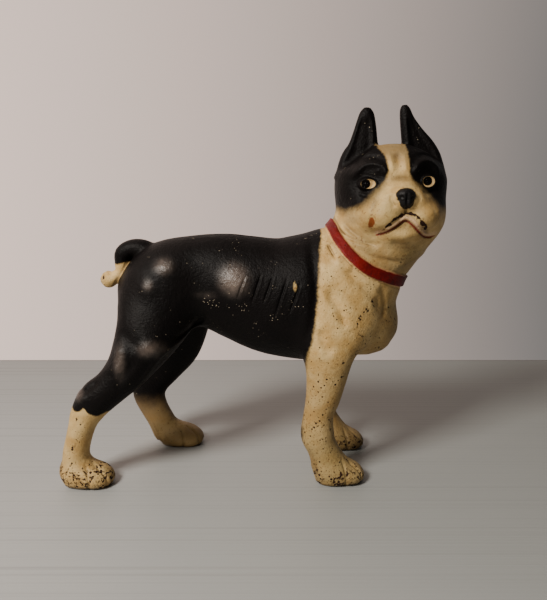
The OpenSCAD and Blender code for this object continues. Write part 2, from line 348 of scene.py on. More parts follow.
def refined(coarse, fine):
    """The coarse grid's values on the fine grid's points, smoothly."""
    wx, wy, wz = (spline_weights(f, c) for f, c in zip(fine.axes, coarse.axes))
    out = np.tensordot(wx, coarse.values, (1, 0))
    out = np.tensordot(out, wy, (1, 1))
    return np.tensordot(out, wz, (1, 1)).astype(np.float32)


# ---------------------------------------------------------------- the figure

LOW, HIGH = (-137.0, -51.0, -3.0), (137.0, 51.0, 259.0)


def smooth_body():
    """Trunk, neck, skull and limbs, before any detail."""
    g = Grid(LOW, HIGH, COARSE_STEP)
    limb(g, TRUNK, ALONG_Y, 1)
    limb(g, NECK, ALONG_Y, 6)
    limb(g, SKULL, ALONG_X, 8)
    for leg in (NEAR_FRONT_LEG, FAR_FRONT_LEG):
        limb(g, leg, ALONG_Y, 10)
    for leg in (NEAR_REAR_LEG, FAR_REAR_LEG):
        limb(g, leg, ALONG_Y, 9)
    return g


def chamber():
    """The hollow inside the trunk, neck and skull."""
    g = Grid(LOW, HIGH, COARSE_STEP)
    limb(g, TRUNK[1:-1], ALONG_Y, 1, shrink=WALL)
    limb(g, NECK, ALONG_Y, 8, shrink=WALL)
    limb(g, SKULL[1:-2], ALONG_X, 6, shrink=WALL)
    return g


def add_head(g):
    """Muzzle, flews, chin, brows, eyes, nose and mouth."""
    front = (-60, -14)
    ball(g, (95, -29, 193.5), (19, 15, 10.5), 7)
    for side in (-1, 1):
        ball(g, (96.5 + side * 11.5, -29.5, 183.5), (13, 12.5, 10), 5)
    ball(g, (98, -27, 172), (13.5, 10, 7.5), 5)
    ball(g, (75, -17, 184), (9, 12.5, 11), 8)
    ball(g, (117, -17, 183), (9.5, 12, 12), 8)
    for ex, ez, wide, high in EYES:
        dimple(g, (ex, ez), (wide * 1.9, high * 2), 2.8, *front)
        ball(g, (ex, -24.6, ez), (5.4, 4.8, 5.0), 0.8)
        lid_ring(g, ex, ez, wide, high)
    stroke(g, [(65, 205), (67.5, 210.5), (72.5, 215.2), (79, 215.8), (84.5, 212.6), (87.5, 207)],
           2.3, -2.2, *front)
    stroke(g, [(102.5, 207), (105, 213.4), (108, 216.6), (113, 217.6), (118.5, 214.8), (123.5, 208)],
           2.3, -2.2, *front)
    stroke(g, [(67, 213), (72, 219), (79, 220), (85, 217)], 1.6, 1.1, *front)
    stroke(g, [(105, 218.5), (110, 221.5), (117, 220), (121, 216)], 1.6, 1.1, *front)
    stroke(g, [(69, 197.5), (74.5, 196), (80, 198)], 1.4, 1.0, *front)
    stroke(g, [(107.5, 199), (113, 197.6), (118.5, 200)], 1.4, 1.0, *front)
    for bump in ((80.6, 211.2), (84.6, 210.4)):
        dimple(g, bump, (1.5, 1.5), -0.9, *front)
    stroke(g, [(92.5, 224), (93.4, 217), (94.4, 209)], 2.2, 1.0, -60, -8, taper=0.4)
    stroke(g, [(88, 224), (89, 216), (89.5, 209)], 1.6, -0.6, *front)
    stroke(g, [(97, 224), (98, 216), (98.6, 209)], 1.6, -0.6, *front)
    stroke(g, [(86.5, 203.5), (91, 205.8), (96, 206.2), (101, 205.6), (104.6, 203)],
           1.8, 0.9, *front, taper=0.35)
    ball(g, (96.2, -41.8, 196.4), (6.0, 5.2, 4.4), 1.2)
    ball(g, (96.6, -41.4, 192.4), (4.4, 4.6, 3.9), 1.5)
    for side in (-1, 1):
        ball(g, (96.3 + side * 3.7, -46.6, 195.2), (1.7, 2.0, 1.2), 0.5, carve=True)
        ball(g, (96.3 + side * 5.2, -45, 193.6), (1.5, 2.0, 0.8), 0.4, carve=True)
    stroke(g, [(96.4, 198), (96.4, 193), (96.8, 187.5), (97.4, 184)], 0.8, 1.1, -60, -30, taper=0.1)
    stroke(g, [(87.5, 197.5), (87.8, 193), (90.5, 188.5)], 1.2, 1.1, *front)
    stroke(g, [(105, 197.5), (104.8, 193), (102.6, 188.5)], 1.4, 0.5, *front)
    stroke(g, MOUTH_LINE, 0.7, 1.1, *front, taper=0.06)
    stroke(g, [(x, z + 1.8) for x, z in MOUTH_LINE[1:-1]], 1.0, -0.55, *front, taper=0.08)
    stroke(g, [(x, z + 4.2) for x, z in MOUTH_LINE[1:-1]], 1.2, 0.35, *front, taper=0.1)
    stroke(g, [(85.5, 201), (81, 195), (77.5, 188), (76.5, 181), (79.5, 174)], 1.6, 0.8, *front)
    stroke(g, [(106, 201), (111, 195), (115.5, 188), (117.5, 181), (117.5, 174)], 2.2, 0.5, *front)
    stroke(g, [(89, 167.5), (97.5, 166), (106, 167.5)], 2.2, 0.8, -60, -8)
    dimple(g, (98.5, 171.6), (6, 3), -1.3, *front)
    stroke(g, [(60, 180), (66, 172.5), (75, 166.6), (86, 164)], 1.8, 1.1, *front)


def lid_ring(g, ex, ez, wide, high):
    """The raised lids round an eye, heavier above."""
    cut, x, y, z = g.part((ex - 12, -50, ez - 11), (ex + 12, -15, ez + 11))
    u, v = (x - ex) / wide, (z - ez) / high
    gap = (np.hypot(u, v) - 1.08) * (wide + high) / 2
    depth = 1.25 + 0.5 * np.clip(v, -1, 1)
    g.values[cut] -= depth * np.exp(-(gap / 0.85) ** 2) * y_window(y, -55, -15)


def add_ears(g):
    """Cropped ears, hollowed in front with a rolled rim."""
    for stations, shift in ((RIGHT_EAR, -1.0), (LEFT_EAR, 1.6)):
        limb(g, stations, ALONG_X, 3)
        s = np.array(stations)
        cut, x, y, z = g.part((s[:, 0].min() - 16, -16, 205), (s[:, 0].max() + 16, 3, 253))
        middle = np.interp(z, s[:, 2], s[:, 0]) + shift
        half = np.maximum(np.interp(z, s[:, 2], s[:, 3]) - 2.2, 0.8)
        inside = smoothstep(0, 0.9, 1 - ((x - middle) / half) ** 2)
        depth = 2.3 * smoothstep(208, 222, z) * (1 - smoothstep(240, 249, z))
        g.values[cut] += inside * depth * (1 - smoothstep(-4, 0, y))


def add_tail(g):
    """The tail, curled down over the rump with its tip turned out."""
    limb(g, TAIL, ALONG_Y, 1.6)


def add_paws(g):
    """Paws with fanned toes and flat soles."""
    for px, py in PAW_PLACES:
        limb(g, [(px + x, py + y, z, a, b) for x, y, z, a, b in PAW], ALONG_Y, 5)
        cut, x, y, z = g.part((px - 6, py - 16, -3), (px + 20, py + 16, 18))
        for angle in (-62, -24, 24, 62):
            c, s = math.cos(math.radians(angle)), math.sin(math.radians(angle))
            run = (x - px + 3) * c + (y - py) * s
            off = np.abs(-(x - px + 3) * s + (y - py) * c)
            g.values[cut] += 1.0 * np.exp(-(off / 1.0) ** 2) * smoothstep(6, 12, run) + 0 * z


def add_collar(g):
    """The cast-on collar, standing proud of the neck."""
    cut, x, y, z = g.part((44, -45, 128), (116, 45, 190))
    d, share = line_distance(x, z, COLLAR_LINE)
    half = COLLAR_HALF + COLLAR_WIDENS * share
    g.values[cut] -= 1.5 * (1 - smoothstep(-0.4, 0.5, d - half)) + 0 * y
    g.values[cut] += 0.3 * np.exp(-((d - half - 0.9) / 0.8) ** 2) + 0 * y


def add_body_details(g):
    """Ribs, folds of skin and swellings of muscle, alike on both sides."""
    for low_y, high_y in ((-60, -12), (12, 60)):
        both = (low_y, high_y)
        for line in RIB_LINES:
            stroke(g, line, 0.7, 0.9, *both, taper=0.3)
            stroke(g, [(x + 1.5, z) for x, z in line], 0.7, -0.3, *both, taper=0.3)
        stroke(g, [(53.6, 177.5), (60.3, 171.1), (66, 167.6), (74.5, 165), (84, 162.7)], 1.4, 1.7, *both)
        stroke(g, [(58, 177), (64, 169.5), (70, 166), (80, 162)], 2.2, -1.0, *both)
        stroke(g, [(63.2, 167), (70.9, 160.2), (79.4, 156.2), (93.7, 153.2), (103, 151.2)], 1.7, 1.0, *both)
        stroke(g, [(49.7, 165), (53, 158.9), (55.9, 154.3)], 1.0, 1.5, *both)
        stroke(g, [(54, 158), (59, 151.5), (66, 148)], 2.6, -1.2, *both)
        stroke(g, [(55.4, 153.8), (64.9, 144.4), (73.5, 136.9), (82.3, 128.3), (85.5, 116.7)],
               2.6, 1.7, *both)
        stroke(g, [(47.5, 137.4), (53.7, 128.9), (58.6, 120.3), (61.2, 109.7)], 3.0, 1.8, *both)
        stroke(g, [(44.7, 111.6), (47.6, 100.9), (54.4, 94.1)], 2.6, 1.6, *both)
        stroke(g, [(84, 138), (87.5, 131), (88.5, 120.5), (86.3, 112.5)], 2.0, 1.1, *both)
        stroke(g, [(43, 172), (40, 164), (41, 150), (42, 136), (41, 121), (38, 106), (33, 92)],
               3.6, 1.5, *both)
        dimple(g, (-56, 150), (8, 7), -1.7, *both)
        dimple(g, (-69, 137.5), (6, 7), -1.6, *both)
        dimple(g, (-11, 139), (12, 11), -2.8, *both)
        dimple(g, (-36, 140), (11, 17), 2.4, *both)
        dimple(g, (-65, 97.5), (9, 7), -3.0, *both)
        stroke(g, [(-85, 102), (-86, 92), (-90, 79)], 5, -1.8, *both)
        stroke(g, [(-91, 110), (-83, 106), (-74.5, 99), (-71, 92)], 4.5, 1.3, *both, taper=0.4)
        stroke(g, [(-74, 94), (-80, 84), (-90, 71)], 3.0, 1.2, *both, taper=0.4)
        stroke(g, [(-23, 112), (-38.8, 107), (-49.6, 99.5), (-60.4, 91), (-74.4, 73), (-84, 63)],
               1.7, -1.2, *both)
        stroke(g, [(-27.5, 119.5), (-34.2, 113.5), (-43.8, 105.5), (-54, 99.5)], 2.4, 1.5, *both)
        stroke(g, [(-116, 67), (-109, 69), (-100, 76)], 1.8, 1.2, *both)
        dimple(g, (-112, 64.5), (4, 3), -0.9, *both)


def figure():
    """The solid figure with all its cast detail, standing on z = 0."""
    coarse = smooth_body()
    g = Grid(LOW, HIGH, FINE_STEP)
    g.values = refined(coarse, g)
    add_head(g)
    add_ears(g)
    add_tail(g)
    add_body_details(g)
    add_collar(g)
    add_paws(g)
    floor_cut, x, y, z = g.part((LOW[0], LOW[1], LOW[2]), (HIGH[0], HIGH[1], 12))
    g.values[floor_cut] = blend_max(g.values[floor_cut], -z + 0 * x, 1.2)
    return g


# ---------------------------------------------------------------- the two castings

def screw_place(node):
    """Middle of a screw in x and z, the y of its tip and of its head's top, and its head's radius, in mm."""
    low, high = (np.array(v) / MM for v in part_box(node))
    middle = (low + high) / 2
    return middle[0], middle[2], low[1], high[1], (high[0] - low[0]) / 2


def half_casting(solid, hollow, side):
    """Distances for one half: side -1 is the near one, with tapped holes, and 1 the far one."""
    g = Grid((LOW[0], LOW[1] if side < 0 else -2.4, LOW[2]),
             (HIGH[0], 4.8 if side < 0 else HIGH[1], HIGH[2]), solid.step)
    first = int(round((g.axes[1][0] - solid.axes[1][0]) / solid.step))
    g.axes[1] = solid.axes[1][first:first + len(g.axes[1])]
    rows = slice(first, first + len(g.axes[1]))
    x, y, z = g.axes[0][:, None, None], g.axes[1][None, :, None], g.axes[2][None, None, :]
    outside, void = solid.values[:, rows], hollow[:, rows]
    screws = [screw_place(n) for n in ("front_screw", "rear_screw")]
    reach = [np.hypot(x - sx, z - sz) for sx, sz, *_ in screws]
    for r in reach:
        void = np.maximum(void, POST_RADIUS - r)
    slot = np.maximum(np.abs(x - SLOT_MIDDLE) - SLOT_LENGTH / 2, np.abs(y) - SLOT_WIDTH / 2)
    slot = np.maximum(slot, SLOT_BOTTOM - z)
    iron = np.maximum(np.maximum(outside, -void), -slot)
    iron = np.maximum(iron, side * -y + HALF_GAP)
    for (sx, sz, tip, top, head_r), r in zip(screws, reach):
        if side < 0:
            spigot = np.maximum(r - SPIGOT_RADIUS, np.abs(y - 1) - SPIGOT_LENGTH + 1)
            iron = np.minimum(iron, spigot)
            iron = np.maximum(iron, -np.maximum(r - TAPPED_RADIUS, tip - 3 - y))
        else:
            seat = top - HEAD_HEIGHT
            socket = np.maximum(r - SPIGOT_RADIUS - SPIGOT_ROOM, y - SPIGOT_LENGTH - SPIGOT_ROOM)
            iron = np.maximum(iron, -(r - THROUGH_RADIUS))
            iron = np.maximum(iron, -socket)
            iron = np.maximum(iron, -np.maximum(r - head_r - HEAD_ROOM, seat - y))
    g.values = iron.astype(np.float32)
    return g


def surface_mesh(name, g, most=None):
    """Mesh of the grid's zero surface, in metres."""
    band = 3 * g.step
    vdb = openvdb.FloatGrid(band)
    vdb.copyFromArray(np.clip(g.values, -band, band))
    points, quads = vdb.convertToQuads(isovalue=0.0)
    low = np.array([a[0] for a in g.axes])
    points = (points * g.step + low) * MM
    mesh = bpy.data.meshes.new(name)
    mesh.from_pydata(points.tolist(), [], quads.tolist())
    piece = bpy.data.objects.new(name, mesh)
    bpy.context.scene.collection.objects.link(piece)
    if most and 2 * len(quads) > most:
        thin = piece.modifiers.new("thin", "DECIMATE")
        thin.ratio = most / (2 * len(quads))
        graph = bpy.context.evaluated_depsgraph_get()
        mesh = bpy.data.meshes.new_from_object(piece.evaluated_get(graph))
        piece.modifiers.clear()
        piece.data = mesh
        mesh.name = name
    mesh.polygons.foreach_set("use_smooth", [True] * len(mesh.polygons))
    return piece


# ---------------------------------------------------------------- paint marks

def polygon_distance(x, z, points):
    """Signed distance in the side view to a polygon, positive inside."""
    p = np.array(points, float)
    best = np.full(x.shape, 1e9)
    inside = np.zeros(x.shape, bool)
    for a, b in zip(p, np.roll(p, -1, axis=0)):
        e = b - a
        t = np.clip(((x - a[0]) * e[0] + (z - a[1]) * e[1]) / (e @ e), 0, 1)
        best = np.minimum(best, np.hypot(x - a[0] - t * e[0], z - a[1] - t * e[1]))
        crosses = (a[1] > z) != (b[1] > z)
        with np.errstate(divide="ignore", invalid="ignore"):
            at = a[0] + (z - a[1]) * e[0] / e[1]
        inside ^= crosses & (x < at)
    return np.where(inside, best, -best)


# Borders of the black paint in the side view, as (x, z) points
RIGHT_MASK = [
    (81, 240), (82.3, 226), (86, 220), (87, 212), (85.6, 205.7), (81.9, 199.5), (77.2, 194), (73.2, 190),
    (68.3, 186.8), (61.5, 184.4), (56, 186.5), (30, 190), (30, 270), (81, 270)]
LEFT_MASK = [
    (100.3, 240), (99.8, 226), (100.4, 220), (100, 215), (100.4, 209), (101.9, 205), (109.5, 198.2),
    (114.4, 193.4), (120.2, 187.5), (128.5, 186.4), (160, 186), (160, 270), (100.3, 270)]
SHOULDER_LINE = [
    (48, 200), (47, 172), (45.5, 164), (44.5, 154), (43.3, 130), (41.5, 113), (39.7, 100),
    (36.7, 90), (34, 60)]
HOCK_LINE = [(-121, 57), (-118, 55.5), (-113, 56), (-110.4, 58.8), (-107.6, 54), (-102, 51.5), (-98, 53.5)]


def cream_distance(p):
    """Positive where the paint is cream, in mm from its border."""
    x, y, z = p.T
    border = np.array(SHOULDER_LINE)[::-1]
    body = x - np.interp(z, border[:, 1], border[:, 0])
    mask = np.maximum(polygon_distance(x, z, RIGHT_MASK), polygon_distance(x, z, LEFT_MASK))
    back = np.minimum(y + 2, z - 187 + 0.12 * (x - 95))
    head = np.minimum(-np.maximum(mask, back), 229.5 - z)
    cream = np.minimum(body, head)
    border = np.array(HOCK_LINE)
    near_hock = np.interp(x, border[:, 0], border[:, 1]) - z
    far_hock = 0.5 * (38 - z)
    rear = np.where(y < 0, near_hock, far_hock)
    cream = np.where((x < 0) & (z < 75), rear, cream)
    tail = curve_through(TAIL, 4)
    on_tail = np.full(len(p), -9.0)
    near = (x < -80) & (z > 120)
    gap = np.linalg.norm(p[near][:, None, :] - tail[None, :, :3], axis=2) - tail[:, 3:].mean(1)
    on_tail[near] = 1.5 - gap.min(1)
    fleck = np.where(y < 0, 3 * (1 - np.hypot((x - 28.4) / 1.1, (z - 138.2) / 2.8)), -9)
    return np.where(near, np.minimum(on_tail, 149.2 - z + 0.2 * (x + 91)), np.maximum(cream, fleck))


def soft_share(p):
    """How softly the black was sprayed out over the cream, from 0 to 1."""
    x, y, z = p.T
    jowls = (x > 50) * (z > 165) * (1 - smoothstep(198, 212, z))
    far_hock = (x < -30) * (y > 0) * (z < 62)
    shoulder = 0.2 * (x > 0) * (z < 165)
    return np.max([jowls, far_hock, shoulder], axis=0)


def collar_distance(p):
    """Positive on the red collar."""
    d, share = line_distance(p[:, 0], p[:, 2], COLLAR_LINE)
    near = (p[:, 0] > 40) & (p[:, 2] > 120) & (p[:, 2] < 195)
    return np.where(near, COLLAR_HALF + COLLAR_WIDENS * share - d, -9)


def nose_distance(p):
    """Positive on the black nose."""
    x, y, z = p.T
    upper = 4.6 - np.hypot((x - 96.2) / 6.2, (z - 196.3) / 4.7) * 4.6
    lower = 4.4 - np.hypot((x - 96.6) / 4.7, (z - 192.6) / 5.0) * 4.4
    return np.where(y < -38, np.maximum(upper, lower), -9)


def eye_distances(p):
    """Positive on the whites of the eyes, and on their irises."""
    x, y, z = p.T
    white = np.full(len(p), -9.0)
    iris = np.full(len(p), -9.0)
    for (ex, ez, wide, high), (ix, iz, radius) in zip(EYES, IRISES):
        near = (y < -20) & (np.hypot(x - ex, z - ez) < 9)
        d = (1 - np.hypot((x - ex) / wide, (z - ez) / high)) * high
        white = np.where(near, d, white)
        iris = np.where(near, np.minimum(radius - np.hypot(x - ix, z - iz), d + 0.4), iris)
    return white, iris


def near_line(p, points, radius):
    """1 on a side-view line of the near side, falling to 0 at about the radius."""
    d, _ = line_distance(p[:, 0], p[:, 2], points)
    return np.exp(-(d / radius) ** 2) * (p[:, 1] < 0)


def chip_share(p):
    """How much the cream paint is chipped, from 0 to 1."""
    x, y, z = p.T
    front_foot = (x > 0) * (1 - smoothstep(8, 22, z))
    rear_foot = (x < -95) * (1 - smoothstep(12, 24, z)) * (y < 0)
    chest = near_line(p, CHEST_CHIPS, 2.6)
    leg = np.maximum(near_line(p, LEG_CHIPS, 4.5), near_line(p, REAR_CHIPS, 3.5)) * 0.75
    tail = 0.8 * smoothstep(100, 104, -x) * (z > 125)
    limbs = np.where((x > 30) & (z < 112) & (y < 0), 0.6, 0.25) - 0.1 * (z > 165)
    limbs = np.where((x > 42) & (z > 92) & (z < 152), 0.42, limbs)
    return np.max([limbs, 0.95 * front_foot, rear_foot, chest, leg, tail], axis=0)


def flake_share(p):
    """How much old black shows through above the lips and beside the nose, from 0 to 1."""
    x, y, z = p.T
    beside_nose = 0.8 * np.exp(-((x - 89.6) / 2.4) ** 2 - ((z - 198.6) / 2.2) ** 2)
    return np.maximum(near_line(p, LIP_MARKS, 2.1), beside_nose) * (y < -20)


def soil_and_shade_share(p):
    """How much brown is laid over the paint, from 0 to 1: browner lower legs, far legs, hock, crown and
    soles, and painted shade under the jaw, in the crease above the nose and below the right cheek.
    """
    x, y, z = p.T
    far_rear = (y > 12) * (x < -30) * (1 - smoothstep(50, 66, z)) * (0.6 + 0.4 * smoothstep(8, 42, z))
    far_front = 0.6 * (y > 12) * (x > 30) * (1 - smoothstep(60, 80, z))
    near_front = 0.34 * (y < 12) * (x > 30) * (1 - smoothstep(62, 112, z))
    near_rear = 0.16 * (y < 0) * (x < -60) * (1 - smoothstep(40, 60, z))
    # painted shadow of the jaw on the throat
    throat = 0.42 * near_line(p, [(68, 170), (78, 160), (92, 151), (106, 149)], 8)
    throat = throat + 0.2 * near_line(p, [(88, 166), (100, 163), (112, 160)], 6)
    hock = np.exp(-((x + 113) / 6) ** 2 - ((z - 64) / 5) ** 2) * 0.8
    crown = 0.8 * np.exp(-((x - 92.5) / 5) ** 2 - ((z - 221.5) / 5) ** 2)
    crown = np.maximum(0.65 * smoothstep(213, 224, z), crown)
    # painted shade in the crease across the muzzle above the nose
    bridge = 0.5 * np.exp(-((x - 93.5) / 7) ** 2 - ((z - 207) / 2.2) ** 2) * (y < -20)
    # painted shade below the right cheek
    cheek = 0.5 * np.exp(-((x - 66) / 7) ** 2 - ((z - 180) / 5) ** 2)
    soles = 0.7 * (1 - smoothstep(1, 5, z))
    return np.max([
        far_rear, far_front, near_front, near_rear, throat, hock, crown, bridge, cheek, soles], axis=0)


def polish_and_highlight_share(p):
    """How far the black paint is rubbed thin and shiny over the swellings, where it is also painted lighter
    as a highlight, from 0 to 1.
    """
    x, y, z = p.T
    share = 0 * x
    for cx, cz, rx, rz, most in POLISHED_AND_HIGHLIGHTS:
        share = np.maximum(share, most * np.exp(-((x - cx) / rx) ** 2 - ((z - cz) / rz) ** 2))
    return share * smoothstep(8, 16, np.abs(y)) * np.where(y < 0, 1.0, 0.1)


def worn_spot(p):
    """Positive on the bare brown spot of the right flew."""
    x, y, z = p.T
    return np.where(y < -14, 1 - np.hypot((x - 76.4) / 1.8, (z - 179.2) / 3.6), -9)


def add_marks(piece, solid):
    """Stores the paint borders and the surface's shape on the mesh, for the materials to read."""
    mesh = piece.data
    n = len(mesh.vertices)
    co = np.zeros(n * 3)
    mesh.vertices.foreach_get("co", co)
    p = co.reshape(-1, 3) / MM
    normal = np.zeros(n * 3)
    mesh.vertices.foreach_get("normal", normal)
    normal = normal.reshape(-1, 3)
    white, iris = eye_distances(p)
    mouth, _ = line_distance(p[:, 0], p[:, 2], MOUTH_LINE)
    depth = -solid.sample(p)
    marks = {
        "cream": cream_distance(p),
        "soft": soft_share(p),
        "collar": collar_distance(p),
        "nose": nose_distance(p),
        "eye": white,
        "iris": iris,
        "mouth": np.where((p[:, 1] < -16) & (p[:, 2] > 160), 0.75 - mouth, -9),
        "lip": flake_share(p),
        "band": np.where(p[:, 1] < -16, near_line(p, [(x, z + 2) for x, z in MOUTH_LINE], 1.5), 0),
        "chips": chip_share(p),
        "soil_and_shade": soil_and_shade_share(p),
        "spot": worn_spot(p),
        # rubbed shine on the black, which also carries a painted highlight colour
        "polish_and_highlight": polish_and_highlight_share(p),
        "speck": near_line(p, SPECK_LINE, 4.0),
        # painted shade: higher where the surface is closed in, for darkening creases and hollows
        "crevice_shade": np.clip(1 - solid.sample(p + 3 * normal) / 3, -1, 1),
        "skin": depth,
    }
    for name, values in marks.items():
        attribute = mesh.attributes.new(name, "FLOAT", "POINT")
        attribute.data.foreach_set("value", values.astype(np.float32))


# ---------------------------------------------------------------- materials

class Nodes:
    """A short way to write a node material."""

    def __init__(self, name):
        self.material = bpy.data.materials.new(name)
        self.material.use_nodes = True
        self.tree = self.material.node_tree
        self.tree.nodes.clear()
        self.out = self.tree.nodes.new("ShaderNodeOutputMaterial")
        self.shader = self.tree.nodes.new("ShaderNodeBsdfPrincipled")
        self.tree.links.new(self.shader.outputs[0], self.out.inputs[0])
        self.place = self.tree.nodes.new("ShaderNodeTexCoord").outputs["Object"]

    def put(self, socket, value):
        if isinstance(value, bpy.types.NodeSocket):
            self.tree.links.new(value, socket)
        elif value is not None:
            socket.default_value = value

    def math(self, kind, a, b=None, c=None):
        n = self.tree.nodes.new("ShaderNodeMath")
        n.operation = kind
        for socket, v in zip(n.inputs, (a, b, c)):
            self.put(socket, v)
        return n.outputs[0]

    def mark(self, name):
        n = self.tree.nodes.new("ShaderNodeAttribute")
        n.attribute_name = name
        return n.outputs["Fac"]

    def scaled(self, x, y, z):
        n = self.tree.nodes.new("ShaderNodeMapping")
        n.inputs["Scale"].default_value = (x, y, z)
        self.put(n.inputs["Vector"], self.place)
        return n.outputs[0]

    def noise(self, scale, detail=3.0, rough=0.55, vector=None, distortion=0.0):
        n = self.tree.nodes.new("ShaderNodeTexNoise")
        self.put(n.inputs["Vector"], vector or self.place)
        n.inputs["Scale"].default_value = scale
        n.inputs["Detail"].default_value = detail
        n.inputs["Roughness"].default_value = rough
        n.inputs["Distortion"].default_value = distortion
        return n.outputs["Fac"]

    def voronoi(self, scale, randomness=1.0):
        n = self.tree.nodes.new("ShaderNodeTexVoronoi")
        self.put(n.inputs["Vector"], self.place)
        n.inputs["Scale"].default_value = scale
        n.inputs["Randomness"].default_value = randomness
        return n.outputs["Distance"]

    def step(self, low, high, value):
        n = self.tree.nodes.new("ShaderNodeMapRange")
        n.interpolation_type = "SMOOTHSTEP"
        self.put(n.inputs["Value"], value)
        self.put(n.inputs["From Min"], low)
        self.put(n.inputs["From Max"], high)
        return n.outputs["Result"]

    def mix(self, factor, a, b):
        n = self.tree.nodes.new("ShaderNodeMix")
        n.data_type = "RGBA"
        self.put(n.inputs[0], factor)
        self.put(n.inputs[6], a)
        self.put(n.inputs[7], b)
        return n.outputs[2]

    def blend(self, factor, a, b):
        n = self.tree.nodes.new("ShaderNodeMix")
        n.data_type = "FLOAT"
        self.put(n.inputs[0], factor)
        self.put(n.inputs[2], a)
        self.put(n.inputs[3], b)
        return n.outputs[0]

    def bump(self, height, distance, strength=1.0, normal=None):
        n = self.tree.nodes.new("ShaderNodeBump")
        n.inputs["Distance"].default_value = distance
        n.inputs["Strength"].default_value = strength
        self.put(n.inputs["Height"], height)
        self.put(n.inputs["Normal"], normal)
        return n.outputs[0]


def rgb(r, g, b):
    """A colour given as it looks on screen, from 0 to 255."""
    shares = [c / 255 for c in (r, g, b)]
    return tuple(((c + 0.055) / 1.055) ** 2.4 if c > 10 / 255 else c / 12.92 for c in shares) + (1.0,)


def enamel():
    """Aged black, cream and red enamel on rough cast iron, chipped and soiled, with painted highlights on
    the rubbed black and painted shade in the creases, under the jaw, above the nose and below the right
    cheek.
    """
    m = Nodes("aged_enamel")
    mid, small = m.noise(160, 3), m.noise(620, 3, 0.6)
    wobble = m.math("ADD", m.math("MULTIPLY", m.math("SUBTRACT", mid, 0.5), 2.2),
                    m.math("MULTIPLY", m.math("SUBTRACT", small, 0.5), 2.0))
    spread = m.math("MULTIPLY_ADD", m.mark("soft"), 3.0, 0.9)
    cream_at = m.step(m.math("MULTIPLY", spread, -1.0), spread, m.math("ADD", m.mark("cream"), wobble))
    red_at = m.step(-0.15, 0.25, m.math("ADD", m.mark("collar"), m.math("MULTIPLY", wobble, 0.35)))
    edge_at = m.step(0.55, 0.1, m.math("ABSOLUTE", m.math("ADD", m.mark("collar"), 0.25)))
    nose_at = m.step(-0.2, 0.3, m.math("ADD", m.mark("nose"), m.math("MULTIPLY", wobble, 0.6)))
    mouth_at = m.step(0.0, 0.5, m.math("ADD", m.mark("mouth"), m.math("MULTIPLY", wobble, 0.2)))

    broad = m.noise(24, 5, 0.6)
    blotch = m.noise(75, 5, 0.65)
    grain = m.noise(900, 3, 0.6)
    black = m.mix(blotch, rgb(4, 4, 4), rgb(16, 12, 12))
    # painted highlight: the rubbed patches are painted a light grey-brown, besides being made glossier below
    polish_and_highlight = m.math("MULTIPLY", m.mark("polish_and_highlight"), m.blend(m.noise(260, 4, 0.7), 0.35, 1.5))
    black = m.mix(m.step(0.1, 1.0, polish_and_highlight), black, rgb(98, 86, 78))
    cream = m.mix(m.step(0.32, 0.68, blotch), rgb(184, 148, 88), rgb(214, 184, 126))
    cream = m.mix(m.math("MULTIPLY", m.step(0.45, 0.7, broad), 0.6), cream, rgb(164, 144, 92))
    freckle = m.math("MULTIPLY", m.step(0.55, 0.68, m.noise(520, 4, 0.65)),
                     m.step(0.4, 0.65, m.noise(48, 3)))
    cream = m.mix(m.math("MULTIPLY", freckle, 0.75), cream, rgb(112, 72, 34))
    # painted shade: the cream is darkened in creases and hollows
    cream = m.mix(m.math("MULTIPLY", m.step(0.08, 0.6, m.mark("crevice_shade")), 0.62), cream, rgb(84, 64, 38))
    band = m.math("MULTIPLY", m.mark("band"), m.step(0.3, 0.6, small))
    cream = m.mix(m.math("MULTIPLY", band, 0.75), cream, rgb(214, 176, 146))
    # browner patches on the legs, crown and soles, and painted shade under the jaw, above the nose and below
    # the right cheek
    cream = m.mix(m.math("MULTIPLY", m.mark("soil_and_shade"), m.blend(blotch, 0.55, 1.15)), cream, rgb(66, 48, 33))
    red = m.mix(m.step(0.35, 0.7, blotch), rgb(84, 7, 7), rgb(124, 14, 11))
    paint = m.mix(cream_at, black, cream)
    paint = m.mix(m.math("MULTIPLY", edge_at, 0.55), paint, rgb(196, 128, 96))
    paint = m.mix(mouth_at, paint, rgb(128, 50, 36))
    paint = m.mix(red_at, paint, red)
    paint = m.mix(m.step(-0.1, 0.15, m.math("ADD", m.mark("spot"), m.math("MULTIPLY", wobble, 0.2))), paint,
                  rgb(122, 62, 24))

    bar = m.math("SUBTRACT", 0.745, m.math("MULTIPLY", m.mark("chips"), 0.2))
    chip = m.step(bar, m.math("ADD", bar, 0.02), m.noise(330, 6, 0.7))
    bar = m.math("SUBTRACT", 0.72, m.math("MULTIPLY", m.mark("chips"), 0.1))
    chip = m.math("MAXIMUM", chip, m.step(bar, m.math("ADD", bar, 0.02), m.noise(780, 3, 0.6)))
    bar = m.math("MULTIPLY_ADD", m.step(0.42, 0.64, m.noise(95, 4, 0.6)), 0.15,
                 m.math("MULTIPLY", m.mark("chips"), 0.26))
    cell = m.math("ADD", m.voronoi(270), m.math("MULTIPLY", small, 0.12))
    pits = m.step(bar, m.math("SUBTRACT", bar, 0.05), cell)
    chip = m.math("MULTIPLY", m.math("MAXIMUM", chip, pits), cream_at)
    flakes = m.math("MULTIPLY", m.noise(210, 5, 0.7), 1.3)
    lip = m.step(1.05, 1.09, m.math("ADD", m.math("MULTIPLY", m.mark("lip"), 0.48), flakes))
    chip = m.math("MAXIMUM", chip, lip)
    paint = m.mix(chip, paint, m.mix(small, rgb(16, 9, 7), rgb(58, 30, 16)))
    paint = m.mix(nose_at, paint, rgb(9, 8, 9))
    white = m.mix(small, rgb(182, 142, 88), rgb(214, 190, 142))
    paint = m.mix(m.step(-0.15, 0.15, m.mark("eye")), paint, white)
    paint = m.mix(m.step(-0.12, 0.12, m.mark("iris")), paint, rgb(7, 6, 6))

